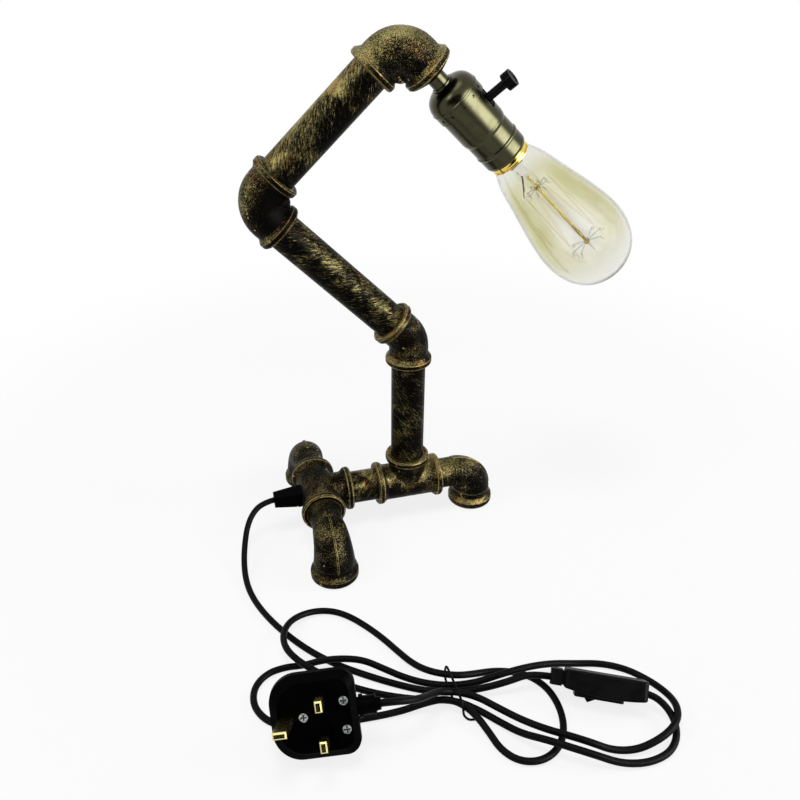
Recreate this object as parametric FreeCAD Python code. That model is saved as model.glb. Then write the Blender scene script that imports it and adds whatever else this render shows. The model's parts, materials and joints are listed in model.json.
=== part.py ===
import FreeCAD, Part
import math
import os

# Industrial pipe table lamp: malleable fittings and steel tube, a brass turn-knob lampholder
# with a long-filament bulb, and a flat flex with an inline rocker switch and a 13 A plug.
# Frame: +Z up, floor at z = 0, origin under the middle of the lamp's own extent.

V = FreeCAD.Vector
X, Y, Z = V(1, 0, 0), V(0, 1, 0), V(0, 0, 1)
ORIGIN = V(0, 0, 0)

# ---- driving dimensions, millimetres and degrees ----
riser_x, riser_y = -22.0, 0.0          # the riser's axis in the part's frame
pipe_od, pipe_wall = 25.0, 2.0
swivel_gap = 0.06                      # radial clearance of a thread that turns
engagement = 12.5                      # how far a tube enters a socket
shoulder_gap = 0.3

base_height = 29.5                     # axis of the base run above the floor
entry_distance = 71.6                  # entry tee to riser tee
side_foot_distance = 54.6              # riser tee to the right foot
foot_spread = 59.8                     # base run to the front and back feet
knee_height = 156.7                    # centre of the 45 degree elbow
lower_arm = 146.0                      # 45 degree elbow to middle elbow, centre to centre
upper_arm = 134.9                      # middle elbow to top elbow, centre to centre
arm_azimuth = 6.35                     # the arms' plane, turned back from the base run

body_r = 14.3                          # fittings: plain body
bead_r, bead_w = 16.9, 5.6             # fittings: banded mouth
bend_r, knee_bend_r = 15.2, 15.0
tee_reach, elbow_reach, knee_reach = 26.0, 26.1, 19.7
foot_bead_r, foot_bead_w = 17.8, 6.6
foot_bend_r, foot_bore_r = 16.5, 9.0
shank_r, throat_r = 12.0, 15.4         # street elbow: male end and swollen side
rib_width, rib_height = 1.8, 0.9       # casting's parting line
crotch_r = 6.2                         # metal left in the crook of a right-angled elbow

relief_root, relief_tip = (13.4, 12.4), (10.0, 9.0)    # strain relief: width and height
relief_shank_r, relief_flange, relief_groove = 4.8, 2.6, 0.7

# lampholder and bulb, stations along the head's axis from the top elbow's centre
neck_r, neck_station, nipple_r = 5.85, 29.6, 5.1
cap_station, cap_r, cap_edge = 37.2, 16.9, 55.0
shell_r, shell_shoulder, shell_low_r = 16.2, 76.0, 15.3
bead_station, shell_mouth = 88.5, 99.6
sheet = 0.6
knob_station, knob_turn = 62.0, 18.0
knob_stem_r, knob_head_r, knob_head_len, knob_reach = 2.8, 5.65, 5.8, 34.8
bulb_seat, bulb_skirt = 79.6, 106.2    # contact button and end of the screw cap
bulb_tip, bulb_max_r, glass = 218.0, 31.2, 0.9
lower_hub, upper_hub, stem_end = 131.0, 187.0, 121.0
screw_cap_r, thread_pitch, thread_depth = 13.0, 3.63, 0.9
screw_shell_gap = 0.3

# flat flex and what is on it
flex_d = 4.4
switch_length, switch_w, switch_t, collar_length = 50.5, 20.0, 14.0, 8.5
switch_end_t, switch_split = 11.4, 1.0 # thickness at the case's ends; joint of its halves
switch_yaw, switch_tilt = -27.3, 45.0
switch_centre = (68.4, -212.0, 11.6)
bezel_rise, bezel_length, bezel_w = 1.6, 30.0, 16.0
rocker_x, rocker_length, rocker_w, rocker_swing = -3.6, 20.0, 10.4, 18.0
rocker_wing, rocker_waist, rocker_sunk = 4.5, 2.6, 1.5
plug_w, plug_to_earth, plug_to_cable = 49.6, 32.3, 18.5
plug_base_t, plug_cover_t, plug_draft = 7.0, 17.0, 5.5
plug_flare, plug_skirt = 4.2, 1.3      # widest ring past the pin face, and past the cover
plug_slope_from, plug_slope_to = 7.0, 17.0     # the cover's sloping earth end
plug_face = (-106.2, -204.4, 32.8)     # between line and neutral pins, on the pin face
plug_yaw, plug_lift, plug_roll = 18.3, 32.6, 10.0
pin_pitch, earth_offset = 22.23, 22.23
cable_depth, relief_on_plug = 9.5, 13.0
tie_x, tie_wire_r = -23.0, 0.75

# routes of the flex, measured from the riser's axis; the cord lies on the floor at its own radius
lamp_lead = [
    (-106, 0, 29.5), (-114.8, -1.2, 28.9), (-122.6, -5.4, 25.6), (-128.6, -12.8, 19.8),
    (-132.6, -23.6, 12.2), (-135.6, -38.5, 5.6), (-136, -56, 2.2), (-132.5, -75, 2.2),
    (-125, -94, 2.2), (-114.5, -113, 2.2), (-102, -130.5, 2.2), (-88, -145, 2.2),
    (-73, -157, 2.2), (-57, -168.5, 2.2), (-40, -179, 2.4), (-23, -186.5, 3.8), (-5, -190, 6),
    (12, -191.8, 9.4), (27.6, -190.9, 11.6), (41.1, -197.9, 11.6)]
switch_lead = [
    (84.8, -220.5, 11.6), (93.3, -224.9, 11.1), (98.9, -232.5, 8.6), (100.5, -241.9, 5.6),
    (97.2, -250.8, 3.2), (90.2, -257.3, 2.2), (81.2, -260.6, 2.2), (69.3, -261.2, 2.2),
    (55.5, -258.2, 3.5), (42.5, -252.6, 8), (31, -246.6, 10.5), (18, -237.2, 10.5), (7.5, -226, 5),
    (-1, -213.5, 2.2), (-10.5, -202, 2.4), (-23, -192, 3.8), (-40, -186.5, 2.6), (-57, -179.5, 2.2),
    (-73, -171, 2.2), (-88, -162.5, 4.5), (-101, -154.5, 9), (-112, -145, 12.5),
    (-118.5, -133, 12.5), (-119, -120, 10.5), (-114.5, -108, 8), (-106, -99.5, 5),
    (-94, -95.5, 2.8), (-81.5, -98, 2.2), (-71, -106, 2.2), (-61, -119, 2.2), (-53, -132, 2.2),
    (-46.5, -145, 2.2), (-40.5, -157, 3), (-34.5, -166.8, 6), (-26.6, -174.2, 8.4),
    (-16, -178.2, 8), (-4, -177.6, 5.4), (8.5, -176.5, 2.8), (20.2, -179.6, 2.2),
    (30.2, -186.2, 2.2), (36.6, -196.2, 2.2), (38.6, -208, 2.2), (37.2, -220.4, 2.2), (32.4, -231.8, 2.2),
    (23.6, -240.8, 2.2), (11.6, -244.4, 2.2), (-0.2, -240.8, 2.2), (-7.6, -231, 2.2),
    (-10, -219, 2.4), (-14, -207.4, 4.8), (-20.4, -198.2, 7.2), (-30, -192.6, 8.2),
    (-42, -191, 6.2), (-55, -190.5, 3), (-69, -190, 2.2), (-85, -189, 2.2),
    (-101, -188.5, 2.2), (-116, -186.5, 2.2), (-129.2, -182, 2.2), (-139.2, -173.8, 2.2),
    (-144.2, -161.8, 2.2), (-142, -149, 2.2), (-132.8, -140.2, 2.2), (-120.4, -138.2, 2.2),
    (-109, -141, 3.4), (-98, -143.5, 7.6), (-86, -147, 10), (-72, -151.5, 9.6),
    (-60, -158.5, 5.5), (-49, -166, 2.6), (-37, -174, 2.4), (-23, -181, 3.8), (-6, -184, 4.9),
    (11, -185.2, 9.6), (29, -184.8, 10.2), (46, -183.5, 6.5), (62, -184.4, 2.4), (78.5, -188.4, 2.2),
    (92.2, -196.6, 2.2), (101.6, -208, 2.4), (106.2, -220.6, 4.8), (106.2, -232.8, 8.4),
    (101.2, -243.4, 10.6), (92, -250.4, 10.2), (80.6, -253, 7), (68.6, -252.8, 3.4),
    (55, -249.8, 4), (42.5, -244.8, 9.5), (31, -237.5, 10.5), (20.5, -229.5, 9.5), (10, -218, 7),
    (0, -206.5, 6.6), (-10, -196.2, 7.8), (-21.4, -190.4, 9), (-32, -190.4, 13.2),
    (-40.8, -196, 19.6), (-48.4, -202.6, 26.8), (-57, -205.6, 31.4), (-66.6, -205.4, 33.4),
    (-76, -203.1, 31.9)]

waterway_inside = pipe_od / 2 - pipe_wall
parts = {}


# ---- helpers ----
def unit(v):
    return v * (1.0 / v.Length)


def frame_at(origin, z_dir, x_dir):
    """Placement whose local Z is z_dir and whose local X is x_dir, squared up."""
    z = unit(z_dir)
    y = unit(z.cross(x_dir))
    x = y.cross(z)
    return FreeCAD.Placement(origin, FreeCAD.Rotation(x, y, z, "ZXY"))


def placed(shape, placement):
    moved = shape.copy()
    moved.Placement = placement.multiply(moved.Placement)
    return moved


def from_riser(x, y, z):
    """Point given from the riser's axis on the floor."""
    return V(riser_x + x, riser_y + y, z)


def turned(profile):
    """Solid of revolution about Z from closed (radius, height) corners."""
    corners = [V(r, 0, z) for r, z in profile]
    face = Part.Face(Part.makePolygon(corners + corners[:1]))
    return face.revolve(ORIGIN, Z, 360)


def turned_smooth(base, curve, closing):
    """Solid of revolution: straight corners, then a spline, then straight corners."""
    spline = Part.BSplineCurve()
    spline.interpolate([V(r, 0, z) for r, z in curve])
    edges = [spline.toShape()]
    loop = [curve[-1]] + closing + base + [curve[0]]
    for (r0, z0), (r1, z1) in zip(loop, loop[1:]):
        if abs(r0 - r1) + abs(z0 - z1) > 1e-6:
            edges.append(Part.makeLine(V(r0, 0, z0), V(r1, 0, z1)))
    return Part.Face(Part.Wire(Part.__sortEdges__(edges))).revolve(ORIGIN, Z, 360)


def rod(radius, z0, z1):
    return Part.makeCylinder(radius, z1 - z0, V(0, 0, z0))


def tube(outer, inner, z0, z1):
    return rod(outer, z0, z1).cut(rod(inner, z0 - 1, z1 + 1))


def bend(radius, turn_r, deflection):
    """Round bar of a bend from +Z to the direction deflected towards +X."""
    start = turn_r * math.tan(math.radians(deflection / 2))
    disc = Part.Face(Part.Wire(Part.makeCircle(radius, V(0, 0, start), Z)))
    return disc.revolve(V(turn_r, 0, start), V(0, -1, 0), deflection), start


def banded_mouth(reach, plain_r, rim_r=bead_r, rim_w=bead_w):
    """Corners of a fitting's banded mouth, from the plain body to the axis."""
    soft = 1.1
    return [(plain_r, reach - rim_w - 2.0), (rim_r - soft, reach - rim_w), (rim_r, reach - rim_w + soft),
            (rim_r, reach - soft), (rim_r - soft, reach), (0, reach)]


def socket_outside(reach, plain_r=body_r, rim_r=bead_r, rim_w=bead_w, start=0.0):
    """Banded mouth of a fitting, along +Z from its centre."""
    return turned([(0, start), (plain_r, start)] + banded_mouth(reach, plain_r, rim_r, rim_w))


def socket_inside(reach, thread_r, start=0.0):
    """Threaded counterbore along +Z, and the waterway below it where the bend leaves room."""
    shoulder = reach - engagement - shoulder_gap
    counterbore = rod(thread_r, shoulder, reach + 1)
    if start >= shoulder:
        return counterbore
    return counterbore.fuse(rod(waterway_inside, start, shoulder))


def arm_frame(direction):
    """Placement that turns local +Z to a direction in the XZ plane."""
    return frame_at(ORIGIN, direction, Y)


# ---- fittings, each about its own centre ----
def elbow(reach, deflection, radius_of_turn, thread_a, thread_b):
    """Female elbow: arm A along +Z, arm B deflected towards +X."""
    heading = math.radians(180 - deflection)
    arm_b = arm_frame(V(math.sin(heading), 0, math.cos(heading)))
    outer, start = bend(body_r, radius_of_turn, deflection)
    mouth = socket_outside(reach, start=start)
    outer = outer.multiFuse([mouth, placed(mouth, arm_b)])
    if deflection == 90:
        crook = radius_of_turn - 1.7
        outer = outer.fuse(Part.makeSphere(crotch_r, V(crook, 0, crook)))
    waterway, start = bend(waterway_inside, radius_of_turn, deflection)
    threads = [socket_inside(reach, thread_a, start),
               placed(socket_inside(reach, thread_b, start), arm_b)]
    return outer.cut(waterway.multiFuse(threads)).removeSplitter()


def tee(branch_thread):
    """Equal tee: run along X, branch along +Z."""
    neck_step = 0.3
    run_mouth = banded_mouth(tee_reach, body_r)
    shoulder = tee_reach - engagement - shoulder_gap
    counterbore = [(waterway_inside, shoulder), (pipe_od / 2, shoulder), (pipe_od / 2, tee_reach + 1),
                   (0, tee_reach + 1)]
    along_run = arm_frame(X)
    run = placed(turned(mirrored(run_mouth) + run_mouth), along_run)
    run_bore = placed(turned(mirrored(counterbore) + counterbore), along_run)
    branch = turned([(0, 0), (body_r - neck_step, 0)] + banded_mouth(tee_reach, body_r - neck_step))
    branch_bore = turned([
        (0, 0), (waterway_inside - neck_step, 0), (waterway_inside - neck_step, shoulder),
        (branch_thread, shoulder), (branch_thread, tee_reach + 1), (0, tee_reach + 1)])
    return run.fuse(branch).cut(run_bore.fuse(branch_bore))


def mirrored(corners):
    """The same corners below the axis origin, in the order that continues a profile."""
    return [(r, -z) for r, z in reversed(corners)]


def street_elbow(male_reach):
    """Street elbow: female mouth along +Z, tapering male shank along +X."""
    turn, step, lap = foot_bend_r, 0.4, 0.5
    sideways = arm_frame(X)
    stations = 6
    rings, outer_line, inner_line = [], [], []
    for i in range(stations + 1):
        t = i / stations
        angle = math.radians(90) * t
        radius = throat_r + (shank_r + step - throat_r) * t
        spoke = V(-math.cos(angle), 0, -math.sin(angle))
        centre = V(turn, 0, turn) + spoke * turn
        rings.append(Part.Wire(Part.makeCircle(radius, centre, V(math.sin(angle), 0, -math.cos(angle)))))
        outer_line.append(centre + spoke * (radius + rib_height))
        inner_line.append(centre - spoke * (radius + rib_height) * 0.5)
    casting = Part.makeLoft(rings, True, False)
    mouth = socket_outside(base_height, throat_r - step, foot_bead_r, foot_bead_w, turn - lap)
    shank = placed(rod(shank_r, turn - lap, male_reach - engagement), sideways)
    thread = placed(rod(pipe_od / 2, male_reach - engagement, male_reach), sideways)
    body = casting.multiFuse([mouth, shank, thread, parting_rib(outer_line, inner_line)])
    waterway, _ = bend(foot_bore_r, turn, 90)
    shoulder = base_height - engagement
    water = [placed(rod(foot_bore_r, turn, male_reach + 1), sideways),
             rod(pipe_od / 2, shoulder, base_height + 1)]
    if shoulder > turn:
        water.append(rod(foot_bore_r, turn, shoulder))
    return body.cut(waterway.multiFuse(water))


def parting_rib(outer_line, inner_line):
    """Flash line left by the mould, standing proud along the back of the bend."""
    crest = Part.BSplineCurve()
    crest.interpolate(outer_line)
    loop = [crest.toShape(), Part.makeLine(outer_line[-1], inner_line[-1])]
    loop += [Part.makeLine(a, b) for a, b in zip(inner_line[::-1], inner_line[-2::-1])]
    loop.append(Part.makeLine(inner_line[0], outer_line[0]))
    rib = Part.Face(Part.Wire(loop)).extrude(V(0, rib_width, 0))
    rib.translate(V(0, -rib_width / 2, 0))
    return rib


# ---- swept flex ----
def rounded_path(points, ratio=0.45):
    """Straight runs joined by tangent arcs; returns the wire, its length and the arc radii."""
    edges, radii = [], []
    here = points[0]
    for before, corner, after in zip(points, points[1:], points[2:]):
        a, b = unit(corner - before), unit(after - corner)
        half_turn = a.getAngle(b) / 2
        cut = ratio * min((corner - before).Length, (after - corner).Length)
        radii.append(cut / math.tan(half_turn))
        start, end = corner - a * cut, corner + b * cut
        bisector = unit(b - a)
        depth = radii[-1] * (1 / math.cos(half_turn) - 1)
        edges.append(Part.LineSegment(here, start).toShape())
        edges.append(Part.Arc(start, corner + bisector * depth, end).toShape())
        here = end
    edges.append(Part.LineSegment(here, points[-1]).toShape())
    wire = Part.Wire(edges)
    return wire, wire.Length, radii


def flex(name, points, ratio=0.45):
    """Round flex along a route; prints its length, volume check and tightest arc."""
    wire, length, radii = rounded_path(points, ratio)
    section = Part.Wire(Part.makeCircle(flex_d / 2, points[0], unit(points[1] - points[0])))
    solid = wire.makePipeShell([section], True, False)
    expected = math.pi * (flex_d / 2) ** 2 * length
    tightest = min(radii) if radii else 0.0
    print("%s: length %.0f mm, volume ratio %.4f, tightest arc %.1f mm of %d"
          % (name, length, solid.Volume / expected, tightest, len(radii)))
    parts[name] = solid
    return radii


# ---- base: two tees, three street-elbow feet, nipple and cord entry ----
def build_base():
    entry = from_riser(-entry_distance, 0, base_height)
    riser_foot = from_riser(0, 0, base_height)
    entry_tee = placed(tee(pipe_od / 2), frame_at(entry, X, Y))
    hole = placed(rod(relief_shank_r, waterway_inside / 2, body_r + 10), frame_at(entry, -X, Y))
    parts["tee_entry"] = entry_tee.cut(hole)
    parts["tee_riser"] = placed(tee(pipe_od / 2 + swivel_gap), frame_at(riser_foot, Z, X))
    nipple_ends = engagement - tee_reach
    parts["base_nipple"] = placed(
        tube(pipe_od / 2, waterway_inside, -nipple_ends, entry_distance + nipple_ends),
        frame_at(entry, X, Y))
    into_tee = tee_reach - engagement
    spread_reach = foot_spread - into_tee
    side_reach = side_foot_distance - into_tee
    feet = {
        "foot_front": (from_riser(-entry_distance, -foot_spread, base_height), Y, spread_reach),
        "foot_back": (from_riser(-entry_distance, foot_spread, base_height), -Y, spread_reach),
        "foot_right": (from_riser(side_foot_distance, 0, base_height), -X, side_reach)}
    for name, (corner, towards_tee, reach) in feet.items():
        parts[name] = placed(street_elbow(reach), frame_at(corner, -Z, towards_tee))
    build_cord_relief(entry)


def build_cord_relief(entry):
    """Square tapered bush, its flange saddled on the entry tee and its shank through the wall."""
    tip = entry_distance_to_tip()
    seat, neck = body_r + relief_flange, body_r + relief_flange + relief_groove
    root_w, root_h = relief_root
    waist = (root_w - 1.2, root_h - 1.2)
    flange = Part.makeLoft([rounded_square(root_w, root_h, body_r - 3.0),
                            rounded_square(root_w, root_h, seat)], True, True)
    groove = Part.makeLoft([rounded_square(*waist, seat - 0.1), rounded_square(*waist, neck + 0.1)],
                           True, True)
    taper = Part.makeLoft([rounded_square(root_w - 0.4, root_h - 0.4, neck),
                           rounded_square(*relief_tip, tip)], True, True)
    saddle = Part.makeCylinder(body_r, 60, V(-30, 0, 0), X)
    shank = rod(relief_shank_r, waterway_inside + 1.0, seat)
    bush = flange.cut(saddle).fuse(shank).fuse(groove).fuse(taper)
    bore = rod(flex_d / 2, 0, tip + 1)
    parts["cord_relief"] = placed(bush.cut(bore), frame_at(entry, -X, Y))


def rounded_square(width, height, z, radius=1.2):
    """Closed wire of a rectangle with rounded corners, at height z."""
    half_w, half_h = width / 2, height / 2
    k = radius * (1 - math.sqrt(0.5))
    edges = []
    for turn in range(4):
        quarter = FreeCAD.Rotation(Z, 90.0 * turn)
        a, b = (half_w, half_h) if turn % 2 == 0 else (half_h, half_w)
        start, end = V(a, b - radius, z), V(a - radius, b, z)
        middle_of_arc = V(a - k, b - k, z)
        run = V(-(a - radius), b, z)
        edges.append(Part.Arc(*[quarter.multVec(p) for p in (start, middle_of_arc, end)]).toShape())
        edges.append(Part.makeLine(quarter.multVec(end), quarter.multVec(run)))
    return Part.Wire(edges)


def entry_distance_to_tip():
    return -lamp_lead[0][0] - entry_distance


# ---- arms ----
azimuth = math.radians(arm_azimuth)
outward = V(-math.cos(azimuth), math.sin(azimuth), 0)
lower_dir = unit(outward + Z)
upper_dir = unit(Z - outward)
head_dir = lower_dir * -1
knee = from_riser(0, 0, knee_height)
middle = knee + lower_dir * lower_arm
top = middle + upper_dir * upper_arm


def pipe_between(start, direction, z0, z1):
    return placed(tube(pipe_od / 2, waterway_inside, z0, z1),
                  frame_at(start, direction, outward.cross(Z)))


def build_arms():
    fixed, swivel = pipe_od / 2, pipe_od / 2 + swivel_gap
    in_tee = tee_reach - engagement
    in_elbow = elbow_reach - engagement
    in_knee = knee_reach - engagement
    parts["riser_pipe"] = pipe_between(from_riser(0, 0, base_height), Z, in_tee,
                                       knee_height - base_height - in_knee)
    parts["elbow_knee"] = placed(elbow(knee_reach, 45, knee_bend_r, fixed, fixed),
                                 frame_at(knee, -Z, outward))
    parts["lower_arm_pipe"] = pipe_between(knee, lower_dir, in_knee, lower_arm - in_elbow)
    parts["elbow_middle"] = placed(elbow(elbow_reach, 90, bend_r, swivel, fixed),
                                   frame_at(middle, -lower_dir, upper_dir))
    parts["upper_arm_pipe"] = pipe_between(middle, upper_dir, in_elbow, upper_arm - in_elbow)
    parts["elbow_top"] = placed(elbow(elbow_reach, 90, bend_r, swivel, fixed),
                                frame_at(top, -upper_dir, head_dir))


def build_inner_flex():
    """Flex inside the tubes, parted where a thread turns."""
    entry = from_riser(-entry_distance, 0, base_height)
    foot = from_riser(0, 0, base_height)
    in_tee = tee_reach - engagement
    in_elbow = elbow_reach - engagement
    flex("flex_in_base", [entry - X * entry_distance_to_tip(), foot, foot + Z * (in_tee - 0.5)], 0.9)
    flex("flex_in_riser", [foot + Z * (in_tee + 0.5), knee,
                           knee + lower_dir * (lower_arm - in_elbow - 0.5)], 0.3)
    flex("flex_in_upper_arm", [middle - lower_dir * (in_elbow - 0.5), middle,
                               middle + upper_dir * (upper_arm - in_elbow - 0.5)], 0.8)
    flex("flex_in_head", [top - upper_dir * (in_elbow - 0.5), top, top + head_dir * 51.0], 0.8)


# ---- head: reducer, lampholder, knob ----
head_frame = frame_at(top, head_dir, upper_dir)
knob_angle = math.radians(knob_turn)
knob_dir = V(math.cos(knob_angle), math.sin(knob_angle), 0)
knob_frame = frame_at(V(0, 0, knob_station), knob_dir, Z)


def on_head(shape):
    return placed(shape, head_frame)


def build_lampholder():
    bush_start, bush_end = elbow_reach - engagement + 0.5, elbow_reach + 3.3
    parts["reducer_bush"] = on_head(turned([
        (nipple_r, bush_start), (pipe_od / 2, bush_start), (pipe_od / 2, elbow_reach),
        (13.6, elbow_reach), (13.4, elbow_reach + 0.9), (9.4, elbow_reach + 2.6), (7.4, bush_end),
        (nipple_r, bush_end)]))
    parts["holder_nipple"] = on_head(tube(nipple_r, 4.0, bush_start - 2.5, 46.0))
    build_holder_cap()
    build_holder_shell()
    build_holder_inside()


def build_holder_cap():
    """Domed brass cap: threaded neck, collar, dome, crimp ring and pierced skirt."""
    skirt = shell_r + 0.02
    dome = [(7.2, cap_station), (11.4, cap_station + 1.2), (14.6, cap_station + 3.6),
            (16.4, cap_station + 7.0), (cap_r, cap_station + 9.6)]
    skirt_out = [(cap_r + 0.35, cap_station + 10.0), (cap_r + 0.35, cap_station + 11.0),
                 (cap_r, cap_station + 11.4), (cap_r, cap_edge)]
    inside = [(skirt, cap_edge), (skirt, cap_station + 9.6), (14.0, cap_station + 5.4),
              (8.0, cap_station + 2.4), (nipple_r, cap_station + 2.4), (nipple_r, neck_station),
              (neck_r, neck_station), (neck_r, cap_station - 1.0), (7.2, cap_station - 1.0)]
    cap = turned_smooth([], dome, skirt_out + inside)
    for i in range(12):
        pierce = Part.makeBox(1.7, 8, 1.7, V(-0.85, cap_r - 3, cap_edge - 4.6))
        cap = cap.cut(placed(pierce, FreeCAD.Placement(ORIGIN, FreeCAD.Rotation(Z, 30.0 * i))))
    parts["holder_cap"] = on_head(cap)


def build_holder_shell():
    """Drawn brass shell with a shoulder, a rolled bead and an inturned mouth."""
    top_edge, low = 47.6, shell_low_r
    outside = [(shell_r, top_edge), (shell_r, shell_shoulder - 2.0), (shell_r - 0.3, shell_shoulder),
               (low, shell_shoulder + 1.8), (low, bead_station - 1.4), (low + 0.5, bead_station - 0.5),
               (low + 0.5, bead_station + 0.5), (low, bead_station + 1.4), (low, shell_mouth - 2.6),
               (low - 0.6, shell_mouth - 0.8), (low - 1.7, shell_mouth)]
    inside = [(r - sheet, z) for r, z in reversed(outside[:-1])]
    shell = turned(outside + [(low - 1.7, shell_mouth - sheet)] + inside)
    slot = Part.makeBox(10, 9.6, knob_station + 5.6 - top_edge + 2, V(8, -4.8, top_edge - 2))
    shell = shell.cut(placed(slot, FreeCAD.Placement(ORIGIN, FreeCAD.Rotation(Z, knob_turn))))
    parts["holder_shell"] = on_head(shell)


def build_holder_inside():
    """Insulating liner, moulded body, screw shell, contacts and terminal screws."""
    liner_r, low_liner_r = shell_r - sheet - 0.02, shell_low_r - sheet - 0.02
    liner = turned([
        (liner_r, 48.2), (liner_r, shell_shoulder - 0.6), (low_liner_r, shell_shoulder + 1.4),
        (low_liner_r, shell_mouth - 3.4), (low_liner_r - 0.5, shell_mouth - 3.4),
        (low_liner_r - 0.5, shell_shoulder + 1.0), (liner_r - 0.6, shell_shoulder - 1.0),
        (liner_r - 0.6, 48.2)])
    knob_hole = placed(rod(knob_stem_r + 0.3, 8, 20), knob_frame)
    parts["holder_liner"] = on_head(liner.cut(knob_hole))
    body_radius, body_start, body_end = liner_r - 0.65, 51.5, 74.6
    core = rod(body_radius, body_start, body_end)
    for side in (-1, 1):
        core = core.cut(Part.makeBox(12, 6, 14, V(-6, side * 12.5 - 3, body_start - 1)))
    spindle_bore = placed(rod(1.5 + swivel_gap, 2, 20), knob_frame)
    parts["holder_body"] = on_head(core.cut(spindle_bore))
    for index, side in enumerate((-1, 1), 1):
        screw = rod(2.4, 0, 1.6)
        slot = Part.makeBox(6, 0.7, 0.8, V(-3, -0.35, 1.0))
        seat = frame_at(V(0, side * 9.5, body_start + 8.0), V(0, side, 0), X)
        parts["terminal_screw_%d" % index] = on_head(placed(screw.cut(slot), seat))
    grip, thread_start = screw_cap_r + screw_shell_gap, bulb_seat + 3.0
    parts["screw_shell"] = on_head(turned(
        ring_thread(grip, thread_start, 4) + [(grip, shell_mouth - 4), (grip + 0.35, shell_mouth - 4)]
        + ring_thread(grip + 0.35, thread_start, 4)[::-1]
        + [(grip + 0.35, body_end), (5.0, body_end), (5.0, body_end + 0.5),
           (grip - thread_depth, body_end + 0.5)]))
    contact = turned([(0, body_end), (3.6, body_end), (3.6, body_end + 0.5), (2.2, bulb_seat - 0.35),
                      (0, bulb_seat - 0.35)])
    parts["centre_contact"] = on_head(contact)


def ring_thread(crest_r, first, turns):
    """Corners of a rolled screw thread drawn as rings, from the first crest on."""
    corners = []
    for i in range(turns):
        z = first + thread_pitch * i
        corners += [(crest_r - thread_depth, z - 1.3), (crest_r, z - 0.4), (crest_r, z + 0.4),
                    (crest_r - thread_depth, z + 1.3)]
    return corners


def build_knob():
    """Turn knob: plain stem and ribbed head with a dished end, on a metal spindle."""
    ribs, root_r = 20, knob_head_r - 0.45
    head_start = knob_reach - knob_head_len
    outline = []
    for i in range(ribs):
        a = 2 * math.pi * i / ribs
        half = math.pi / ribs
        for angle, radius in ((a - 0.5 * half, knob_head_r), (a + 0.5 * half, knob_head_r),
                              (a + 0.62 * half, root_r), (a + 1.38 * half, root_r)):
            outline.append(V(radius * math.cos(angle), radius * math.sin(angle), head_start))
    head = Part.Face(Part.makePolygon(outline + outline[:1])).extrude(V(0, 0, knob_head_len))
    dish = turned([(0, knob_reach - 0.5), (3.9, knob_reach - 0.5), (4.5, knob_reach + 0.1),
                   (0, knob_reach + 0.1)])
    stem_start, spindle_r, spindle_end = shell_r - sheet - 0.55, 1.5, 26.0
    stem = rod(knob_stem_r, stem_start, head_start + 0.5)
    knob = head.cut(dish).fuse(stem).cut(rod(spindle_r, 0, spindle_end))
    parts["switch_knob"] = on_head(placed(knob, knob_frame))
    spindle = rod(spindle_r, 3.0, spindle_end)
    parts["switch_spindle"] = on_head(placed(spindle, knob_frame))


# ---- bulb ----
glass_profile = [(13.4, bulb_skirt - 3.0), (14.6, bulb_skirt - 0.2), (17.6, 113.0), (21.2, 127.0),
                 (25.3, 144.6), (29.2, 163.0), (bulb_max_r, 179.5), (30.2, 192.0), (25.4, 204.5),
                 (16.2, 213.6), (7.0, 217.3)]


def bulb_envelope(inset):
    curve = [(max(r - inset, 0.0), z) for r, z in glass_profile[:-2]]
    curve += [(glass_profile[-2][0] - 0.7 * inset, glass_profile[-2][1] - 0.8 * inset),
              (glass_profile[-1][0] - 0.4 * inset, glass_profile[-1][1] - inset),
              (0.0, bulb_tip - inset)]
    return turned_smooth([(0.0, curve[0][1])], curve, [])


def build_bulb():
    parts["bulb_glass"] = on_head(bulb_envelope(0).cut(bulb_envelope(glass)))
    thread_start, skirt_start = bulb_seat + 3.0, 101.0
    cap = [(0.0, bulb_seat + 1.4), (9.4, bulb_seat + 1.4), (screw_cap_r - thread_depth, bulb_seat + 2.0)]
    cap += ring_thread(screw_cap_r, thread_start, 5)[1:]
    cap += [(screw_cap_r - 0.3, skirt_start), (screw_cap_r, skirt_start + 0.6),
            (screw_cap_r, bulb_skirt - 3.2), (0.0, bulb_skirt - 3.2)]
    hollow = rod(screw_cap_r - thread_depth - 0.9, bulb_seat + 4.0, bulb_skirt)
    rim = turned([(screw_cap_r - 0.5, bulb_skirt - 3.4), (screw_cap_r, bulb_skirt - 3.4),
                  (13.9, bulb_skirt - 3.3), (13.9, bulb_skirt - 3.0),
                  (screw_cap_r - 0.5, bulb_skirt - 3.0)])
    parts["bulb_cap"] = on_head(turned(cap).cut(hollow).fuse(rim))
    parts["bulb_insulator"] = on_head(turned([
        (2.4, bulb_seat + 0.5), (5.6, bulb_seat + 0.5), (9.0, bulb_seat + 1.4), (2.4, bulb_seat + 1.4)]))
    parts["bulb_contact"] = on_head(turned([
        (0, bulb_seat), (3.6, bulb_seat), (4.4, bulb_seat + 0.5), (0, bulb_seat + 0.5)]))
    build_filament_mount()


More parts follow.
